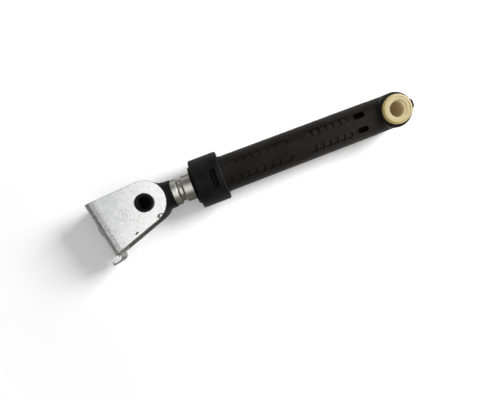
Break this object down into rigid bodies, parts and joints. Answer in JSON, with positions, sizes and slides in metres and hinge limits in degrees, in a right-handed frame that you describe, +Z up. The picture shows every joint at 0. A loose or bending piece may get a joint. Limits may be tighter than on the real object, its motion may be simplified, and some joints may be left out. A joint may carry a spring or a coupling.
{
  "type": "washing machine shock absorber",
  "caption": "Friction damper for a washing machine tub: black tubular housing with an eye bush, sliding steel rod and a pivoting sheet metal foot with a hooked tongue.",
  "frame": {"origin": "middle of the housing's eye bore", "axes": "+X along the damper from the eye to the foot, +Z up, square to the foot's flat sides as the damper lies on its side"},
  "size_m": [0.2295, 0.0489, 0.034],
  "materials": {
    "black_plastic": "matt moulded",
    "cream_plastic": "smooth moulded",
    "white_plastic": "smooth moulded",
    "lining_foam": "greased foam",
    "plated_steel": "zinc plated",
    "sheet_steel": "mottled zinc coat"
  },
  "bodies": {
    "housing": {"housing_tube": "black_plastic", "eye_bush_upper": "cream_plastic", "eye_bush_lower": "cream_plastic", "guide_collar": "black_plastic", "friction_lining": "lining_foam", "lining_washer_rear": "white_plastic", "lining_washer_front": "white_plastic"},
    "guide": {"rod_guide_ring": "white_plastic"},
    "rod": {"damper_rod": "plated_steel", "rod_eye": "black_plastic"},
    "foot": {"foot_bracket": "sheet_steel", "pivot_pin": "black_plastic"}
  },
  "joints": [
    {"name": "rod_slide", "type": "slide", "parent": "housing", "child": "guide", "axis": [1, 0, 0], "range_m": [-0.014, 0.072]},
    {"name": "rod_twist", "type": "hinge", "parent": "guide", "child": "rod", "pos_m": [0.0503, 0, 0], "axis": [1, 0, 0], "continuous": true},
    {"name": "foot_pivot", "type": "hinge", "parent": "rod", "child": "foot", "pos_m": [0.1761, 0, 0], "axis": [0, 0, 1], "range_deg": [-101.4, 78.6]}
  ]
}
